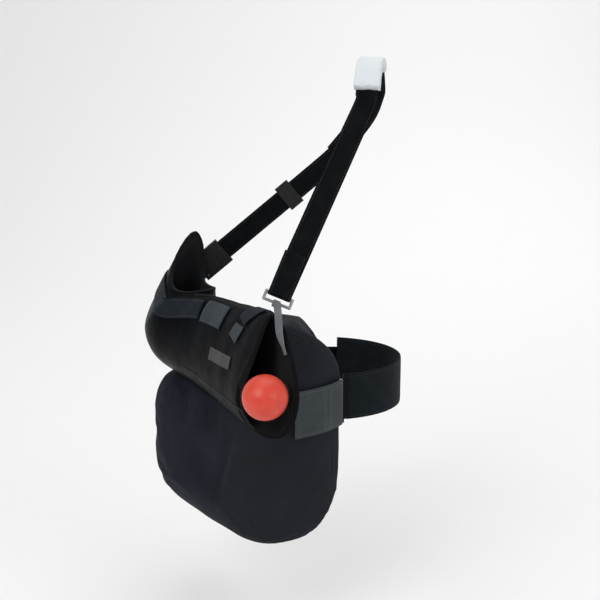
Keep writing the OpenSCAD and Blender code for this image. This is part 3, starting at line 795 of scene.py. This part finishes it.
def evened(points, rounds=3):
    """A closed line with its jumps averaged out."""
    line = np.array(points)
    for _ in range(rounds):
        line = (np.roll(line, 1, axis=0) + 2 * line + np.roll(line, -1, axis=0)) / 4
    return line


def tension(co):
    """Slow, seeded unevenness of stuffed cloth."""
    p = Vector(co)
    return (noise.noise(p * 9 + Vector((SEED, 0, 0)))
            + 0.5 * noise.noise(p * 23 + Vector((0, SEED, 0))))


# A swollen skin may slide this far along itself; its slow dips and the extra
# dip along a seam are this deep.
SLIDE_CAP = 0.0015
SLOW_DIP = 0.0012
SEAM_DIP = 0.0028


def swell(obj, start_in, cap, pins, pin_reach, voxel=0.006, frames=20):
    """Pressure cloth: the form starts start_in inside, swells to cap beyond it,
    and stays low along the pins, which are seam points."""
    mod = obj.modifiers.new("even", "REMESH")
    mod.mode = "VOXEL"
    mod.voxel_size = voxel
    keep_modifiers(obj)
    mesh = obj.data
    normals = per_vertex(mesh, "normal")
    rest = per_vertex(mesh)
    near = np.full(len(rest), 9.0)
    for p in pins:
        near = np.minimum(near, np.linalg.norm(rest - p, axis=1))
    held = np.clip(1 - near / pin_reach, 0, 1)
    move_vertices(mesh, rest - normals * start_in * (1 - 0.25 * held[:, None]))
    group = obj.vertex_groups.new(name="seams")
    for i in np.nonzero(held > 0.05)[0]:
        group.add([int(i)], float(held[i]), "REPLACE")
    cloth = obj.modifiers.new("cloth", "CLOTH")
    cloth.settings.quality = 5
    cloth.settings.mass = 0.25
    cloth.settings.use_pressure = True
    cloth.settings.uniform_pressure_force = 4
    cloth.settings.effector_weights.gravity = 0
    cloth.settings.tension_stiffness = 12
    cloth.settings.compression_stiffness = 10
    cloth.settings.bending_stiffness = 0.6
    cloth.settings.vertex_group_mass = "seams"
    cloth.point_cache.frame_start = 1
    cloth.point_cache.frame_end = frames
    for frame_at in range(1, frames + 1):
        bpy.context.scene.frame_set(frame_at)
    keep_modifiers(obj)
    bpy.context.scene.frame_set(1)
    mesh = obj.data
    moved = per_vertex(mesh)
    # the travel is capped along and across the rest normal
    off = moved - rest
    out = (off * normals).sum(axis=1)
    flat = off - normals * out[:, None]
    span = np.linalg.norm(flat, axis=1, keepdims=True)
    flat *= np.minimum(1, SLIDE_CAP / np.maximum(span, 1e-9))
    dip = np.array([tension(p) for p in rest]) * SLOW_DIP
    limit = cap - SEAM_DIP * held ** 2 - np.abs(dip)
    out = np.minimum(out + dip, limit)
    move_vertices(mesh, rest + normals * out[:, None] + flat)
    if obj.vertex_groups:
        obj.vertex_groups.clear()


def fold_line(pillow):
    """The soft upright fold in the middle of the pillow's front face."""
    spots = per_vertex(pillow.data)
    flat = spots[:, :2] - WAIST
    reach = np.linalg.norm(flat, axis=1)
    bearing = np.degrees(np.arctan2(flat[:, 1], flat[:, 0]))
    z = spots[:, 2]
    middle = FOLD_BEARING + (z - FOLD_Z) * FOLD_LEAN
    off = np.radians(bearing - middle) * reach / FOLD_WIDE
    groove = np.exp(-off ** 2) - FOLD_BULGE * np.exp(-(off - 1.9) ** 2)
    fade = np.exp(-((z - FOLD_Z) / FOLD_TALL) ** 2) * (reach > 0.14)
    spots[:, :2] -= flat / reach[:, None] * (groove * fade * FOLD_DEEP)[:, None]
    move_vertices(pillow.data, spots)


def make_pillow(looks):
    pillow = object_from(welded("pillow_core", quads=False), "pillow_skin",
                         looks["charcoal"])
    tree = tree_of(pillow)
    edges = (rim_line(tree, True, *SEAM_TOP, 50) + rim_line(tree, False, *SEAM_LOW[::-1], 60)
             + end_line(tree, True, 30) + end_line(tree, False, 30))
    pins = [p for p, _ in edges]
    swell(pillow, PILLOW_IN, PILLOW_OUT, pins, SEAM_REACH)
    fold_line(pillow)
    sub = pillow.modifiers.new("fine", "SUBSURF")
    sub.levels = sub.render_levels = 1
    keep_modifiers(pillow)
    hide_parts("pillow_cover", "pillow_core")
    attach(pillow, "pillow")
    tree = tree_of(pillow)
    loop = (rim_line(tree, True, *SEAM_TOP, 90) + end_line(tree, True, 60)
            + rim_line(tree, False, *SEAM_LOW, 100) + end_line(tree, False, 60)[::-1])
    seam = [on_skin(tree, p) for p in evened([p for p, _ in loop])]
    cord_along("pillow_seam", [p - n * 0.0004 for p, n in seam], 0.0013, looks["edge"],
               "pillow", closed=True)
    middle = np.mean([p for p, _ in seam], axis=0)
    rows = []
    for p, _ in seam[::2]:
        spot, normal = on_skin(tree, p + unit(middle - p) * 0.007)
        rows.append((spot + normal * 0.0001, normal))
    stitches("pillow_stitching", [rows], looks["grey_thread"], "pillow",
             length=0.0032, gap=0.0016, radius=0.0004)


# ---- Pouch ----

# The plain form is kept this near the pouch's bound edges.
BOUND_REACH = 0.014
# From the lower seam to the hem line above it, on the outer face.
HEM_SHIFT = np.array((-0.0297, -0.0119, 0.030))
# Level way from the elbow to the hand.
AHEAD = Vector((0.371, -0.928, 0))
# The skin this near the lining is the lining's side and keeps still.
LINING_GAP = 0.002
# Creases: slow and small ones, as waves a metre along and up, and their height.
SLOW_CREASE = (30, 9, 0.0011)
SMALL_CREASE = (75, 20, 0.0005)
CREASE_LOW = -0.0004
# How far apart two neighbours along one seam may lie.
SEAM_STEP = 0.06


def near_bindings(spots):
    """1 at the pouch's two bound edges, falling to 0 a little way off."""
    edges = [tree_of(NODES[name]) for name in ("hand_binding", "arm_binding")]
    far = np.array([min(tree.find_nearest(Vector(p))[3] for tree in edges) for p in spots])
    return 1 - np.clip(far / BOUND_REACH, 0, 1) ** 2


def subdivide(piece, levels, hold):
    """Smooth subdivision that keeps the plain form where hold is 1."""
    plain = piece.copy()
    plain.data = piece.data.copy()
    bpy.context.scene.collection.objects.link(plain)
    for obj, kind in ((piece, "CATMULL_CLARK"), (plain, "SIMPLE")):
        sub = obj.modifiers.new("fine", "SUBSURF")
        sub.subdivision_type = kind
        sub.levels = sub.render_levels = levels
        keep_modifiers(obj)
    flat = per_vertex(plain.data)
    share = np.reshape(hold(flat) * np.ones(len(flat)), (-1, 1))
    move_vertices(piece.data, per_vertex(piece.data) * (1 - share) + flat * share)
    bpy.data.objects.remove(plain)


def seam_lines(form, shared):
    """The top and the bottom seam on the outside, each from the hand end."""
    pool = {v for f in shared for v in f.verts}
    rungs = set()
    for v in pool:
        mate = min((w for w in pool if w is not v), key=lambda w: (w.co - v.co).length)
        rungs.add(frozenset((v, mate)))
    rungs = [tuple(np.array(v.co) for v in pair) for pair in rungs]
    mids = [(a + b) / 2 for a, b in rungs]
    lines = []
    left = set(range(len(rungs)))
    for _ in range(2):
        here = min(left, key=lambda i: mids[i][1])
        chain = [here]
        left.discard(here)
        while left:
            after = min(left, key=lambda i: np.linalg.norm(mids[i] - mids[here]))
            if np.linalg.norm(mids[after] - mids[here]) > SEAM_STEP:
                break
            chain.append(after)
            left.discard(after)
            here = after
        lines.append(chain)
    found = []
    for chain, other in ((lines[0], lines[1]), (lines[1], lines[0])):
        far_side = [mids[i] for i in other]
        line = []
        for i in chain:
            axis = min(far_side, key=lambda p: np.linalg.norm(p - mids[i]))
            line.append(max(rungs[i], key=lambda p: np.linalg.norm(p - axis)))
        found.append(line)
    return found


def make_pouch(looks):
    form = welded("pouch_outer", "pouch_inner")
    # the two panels meet in faces that no longer show
    seen = {}
    for face in form.faces:
        seen.setdefault(tuple(sorted(v.index for v in face.verts)), []).append(face)
    twice = [f for group in seen.values() if len(group) > 1 for f in group]
    seams = seam_lines(form, twice)
    bmesh.ops.delete(form, geom=twice, context="FACES_ONLY")
    inner = [e for e in form.edges if not e.link_faces]
    bmesh.ops.delete(form, geom=inner, context="EDGES")
    bmesh.ops.recalc_face_normals(form, faces=form.faces)
    pouch = object_from(form, "pouch_skin", looks["laminate"])
    subdivide(pouch, 2, near_bindings)
    crease(pouch)
    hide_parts("pouch_outer", "pouch_inner")
    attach(pouch, "pouch")
    tree = tree_of(pouch)
    for name, line in zip(("pouch_seam_a", "pouch_seam_b"), seams):
        points = [on_skin(tree, p) for p in smooth_points(line[:-1], 6)]
        cord_along(name, [p + n * 0.0003 for p, n in points], 0.0012, looks["edge"], "pouch")
    lower = seams[1] if seams[1][3][2] < seams[0][3][2] else seams[0]
    hem = []
    for p in smooth_points(lower[:-1], 6):
        spot, normal = on_skin(tree, p + HEM_SHIFT)
        hem.append(spot + normal * 0.0002)
    cord_along("pouch_hem", evened(hem[2:-2], 1)[1:-1], 0.0009, looks["hem"], "pouch")
    return tree


def crease(pouch):
    """Lifts shallow creases out of the outer skin only."""
    lining = tree_of(NODES["pouch_lining"])
    normals = per_vertex(pouch.data, "normal")
    spots = per_vertex(pouch.data)
    moves = np.zeros(len(spots))
    for i, p in enumerate(spots):
        far = lining.find_nearest(Vector(p))[3]
        if far < LINING_GAP:
            continue
        s = p[0] * AHEAD.x + p[1] * AHEAD.y
        lift = 0.0
        for turn, (along, up, height) in enumerate((SLOW_CREASE, SMALL_CREASE)):
            lift += height * noise.noise(Vector((s * along, p[2] * up, SEED + 3 * turn)))
        moves[i] = max(CREASE_LOW, lift) * min(1, (far - LINING_GAP) * 900)
    moves *= 1 - near_bindings(spots)
    move_vertices(pouch.data, spots + normals * moves[:, None])


def smooth_piece(name, node, look, body, levels, hold):
    """A CAD node's own form, subdivided."""
    piece = object_from(welded(node), name, look)
    subdivide(piece, levels, hold)
    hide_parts(node)
    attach(piece, body)


# ---- Straps in place ----

# Edge and face of the four rows of stitches along a strap.
BOTH = ((-1, -1), (-1, 1), (1, -1), (1, 1))
STRAP_W = 0.032
STRAP_T = 0.002
WAIST_H = 0.070
# Rows of stitches lie this far in from a strap's edge.
STITCH_IN = 0.003


def make_straps(looks, skin):
    side = STRAP_W / 2 - STITCH_IN
    rows = []
    web = strap("shoulder_webbing", "shoulder_strap", STRAP_W, STRAP_T, looks["strap"],
                "pouch")
    rows += [web.along(s * side, u) for s, u in BOTH]
    rows += box_stitch(web, side, 0.012, 0.05)
    web = strap("elbow_webbing", "elbow_strap", STRAP_W, STRAP_T, looks["cloth_strap"],
                "pouch", tree=skin)
    rows += [web.along(s * side, u) for s, u in BOTH]
    web = strap("wrist_webbing", "wrist_strap", STRAP_W - 0.004, STRAP_T,
                looks["cloth_strap"], "pouch", tree=skin)
    rows += [web.along(s * (side - 0.002), u) for s, u in BOTH]
    strap("inner_leg_webbing", "inner_leg", 0.010, 0.0015, looks["leg"], "pouch")
    stitches("pouch_strap_stitching", rows, looks["grey_thread"], "pouch")
    tab_piece(looks, skin, "elbow_tab", STRAP_W + 0.004, "tab")
    tab_piece(looks, skin, "wrist_tab", STRAP_W - 0.004, "tab")

    rows = []
    band = strap("waist_band", "waist_strap", WAIST_H, STRAP_T, looks["waist"], "pillow")
    rows += [band.along(s * (WAIST_H / 2 - 0.004), u) for s, u in BOTH]
    rows += [band.crossing(a, WAIST_H / 2 - 0.006, u) for a in (0.95, 0.985) for u in (-1, 1)]
    for name, node in (("waist_tail_webbing", "waist_tail"),
                       ("rear_webbing", "waist_rear_webbing")):
        web = strap(name, node, STRAP_W, STRAP_T, looks["strap"], "pillow", wave=0.0001,
                    tight=True)
        rows += [web.along(s * side, u) for s, u in BOTH]
    stitches("waist_stitching", rows, looks["grey_thread"], "pillow", radius=0.0002)
    make_waist_tab(looks, WAIST_H)
    label = strap("pouch_label_cloth", "pouch_label", 0.018, 0.0006, looks["label"], "pouch",
                  wave=0.0, tree=skin)
    border = [label.along(s * 0.0074) for s in (-1, 1)]
    border += [label.crossing(a, 0.0074) for a in (0.04, 0.96)]
    border += [label.crossing(a, 0.0045) for a in (0.3, 0.4, 0.62, 0.72)]
    stitches("label_stitching", border, looks["pale_thread"], "pouch", 0.0012, 0.0006, 0.00022)


def box_stitch(web, half, first, last):
    """The box and cross that hold a folded end down."""
    count = len(web.grid) - 1
    start, stop = int(first * count), int(last * count)
    rows = [web.crossing(first, half), web.crossing(last, half)]
    for turn in (-1, 1):
        rows.append([web.point(i, turn * half * (2 * (i - start) / max(1, stop - start) - 1), 1)
                     for i in range(start, stop + 1)])
    return rows


def tab_piece(looks, skin, node, width, look):
    tab = strap(node + "_cloth", node, width, 0.0015, looks[look], node, tree=skin)
    half = width / 2 - STITCH_IN
    rows = [tab.along(s * half) for s in (-1, 1)]
    rows += [tab.crossing(a, half) for a in (0.06, 0.9)]
    stitches(node + "_stitching", rows, looks["grey_thread"], node)


def make_waist_tab(looks, height):
    """The tab's plan is read from its lowest points, in pairs across it."""
    pts = np.array([v.co for v in NODES["waist_tab"].data.vertices])
    low = pts[pts[:, 2] < pts[:, 2].min() + 1e-5]
    low = np.unique(low.round(6), axis=0)
    turn = np.arctan2(low[:, 1] - WAIST[1], low[:, 0] - WAIST[0])
    low = low[np.argsort(turn)]
    rings = []
    for a, b in zip(low[0::2], low[1::2]):
        if np.linalg.norm(b[:2] - WAIST) < np.linalg.norm(a[:2] - WAIST):
            a, b = b, a
        centre = (a + b) / 2 + np.array((0, 0, height / 2))
        rings.append((centre, np.array((0, 0, 1.0)), b - a))
    thick = float(np.linalg.norm(rings[0][2]))
    tab = Strap("waist_tab_cloth", rings, height, thick, columns=20)
    piece = add_object("waist_tab_cloth", tab.mesh, looks["waist_tab"])
    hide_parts("waist_tab")
    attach(piece, "waist_tab")
    half = height / 2 - 0.004
    rows = [tab.along(s * half) for s in (-1, 1)]
    rows += [tab.crossing(a, half) for a in (0.04, 0.56, 0.6, 0.7, 0.74, 0.96)]
    stitches("waist_tab_stitching", rows, looks["pale_thread"], "waist_tab",
             length=0.003, radius=0.0004)


def make_pad(looks):
    pad = object_from(welded("pad_foam", quads=False), "shoulder_pad", looks["pad"])
    swell(pad, 0.0015, 0.0016, [], 0.01, voxel=0.0028)
    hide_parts("pad_foam", "pad_cover")
    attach(pad, "pad")


# ---- Everything together ----

def make_looks():
    return {
        # Charcoal pillow cloth: the bluish base stays on the side face west of the fold; the last
        # colour paints the front face lighter. Painted light on the front face, painted shade on
        # the side face.
        "charcoal": brushed_cloth("charcoal_cloth", (0.0065, 0.0088, 0.0155),
                                  (0.015, 0.018, 0.026), sheen=0.03,
                                  painted_lit_face=(0.0125, 0.0135, 0.0165)),
        "laminate": laminate_cloth("black_laminate", (0.0022, 0.0026, 0.0032),
                                   (0.006, 0.0068, 0.0085)),
        "lining": knit_cloth("black_lining", (0.006, 0.0065, 0.0075), (0.016, 0.017, 0.02),
                             sheen=0.03),
        "edge": webbing("edge_binding", (0.016, 0.018, 0.022), (0.04, 0.043, 0.05), 0.0012,
                        sheen=0.05),
        "hem": webbing("pouch_hem", (0.03, 0.031, 0.035), (0.05, 0.052, 0.058), 0.0012,
                       sheen=0.05),
        "binding": webbing("black_binding", (0.004, 0.0045, 0.0055), (0.014, 0.015, 0.018),
                           0.0014, sheen=0.05),
        "strap": webbing("black_webbing", (0.0025, 0.003, 0.0036), (0.009, 0.0105, 0.012),
                         sheen=0.02),
        "cloth_strap": webbing("dark_strap_cloth", (0.0085, 0.012, 0.016), (0.02, 0.026, 0.033),
                               0.0024, sheen=0.05),
        "waist": webbing("waist_elastic", (0.006, 0.009, 0.0105), (0.016, 0.02, 0.023), 0.003,
                         sheen=0.05),
        "tab": brushed_cloth("grey_tab", (0.022, 0.029, 0.036), (0.05, 0.06, 0.07), 0.0009,
                             sheen=0.08),
        "waist_tab": brushed_cloth("waist_tab", (0.034, 0.042, 0.046), (0.062, 0.07, 0.075),
                                   0.0009, sheen=0.08),
        "leg": webbing("grey_webbing", (0.09, 0.095, 0.105), (0.2, 0.21, 0.23), 0.0016),
        "pad": knit_cloth("pale_knit", (0.60, 0.64, 0.66), (0.68, 0.72, 0.74), 0.0026, 0.2),
        "pile": pile_tape("hook_tape", (0.005, 0.005, 0.006), (0.02, 0.02, 0.023)),
        "label": webbing("grey_label", (0.02, 0.021, 0.023), (0.045, 0.047, 0.05), 0.0009),
        "plastic": moulded("black_plastic", (0.006, 0.006, 0.007), (0.016, 0.016, 0.018)),
        "metal": metal("steel", (0.32, 0.33, 0.35), (0.18, 0.18, 0.2)),
        "ball": rubber_skin("red_rubber", (0.58, 0.034, 0.012), (0.72, 0.08, 0.035)),
        "pale_thread": thread("pale_thread", (0.13, 0.135, 0.145)),
        "grey_thread": thread("grey_thread", (0.035, 0.037, 0.043)),
    }


def dress(names, look, bevel=0.0):
    """A better material, and softer edges, on CAD nodes that stay."""
    for name in names:
        obj = NODES[name]
        obj.data.materials.clear()
        obj.data.materials.append(look)
        if bevel:
            mod = obj.modifiers.new("edge", "BEVEL")
            mod.width = bevel
            mod.segments = 2
            mod.limit_method = "ANGLE"
            mod.angle_limit = math.radians(35)
            mod.harden_normals = False


def build():
    looks = make_looks()
    make_pillow(looks)
    skin = make_pouch(looks)
    smooth_piece("pouch_lining_skin", "pouch_lining", looks["lining"], "pouch", 1,
                 near_bindings)
    for name in ("hand", "arm"):
        smooth_piece(name + "_edge", name + "_binding", looks["binding"], "pouch", 2,
                     lambda spots: 0.75)
    make_straps(looks, skin)
    make_pad(looks)
    dress(["strap_slider", "elbow_plug", "elbow_prong_a", "elbow_prong_b", "elbow_socket",
           "waist_plug", "waist_prong_a", "waist_prong_b", "waist_socket"],
          looks["plastic"], 0.0007)
    dress(["wrist_ring", "zip_slider", "zip_pull"], looks["metal"], 0.0002)
    dress(["zip_tape"], looks["binding"])
    dress(["pouch_hook_patch", "pillow_loop_patch", "ball_dot", "waist_loop_patch"],
          looks["pile"])
    dress(["exercise_ball"], looks["ball"])


make_camera()
make_floor()
make_lights()
build()
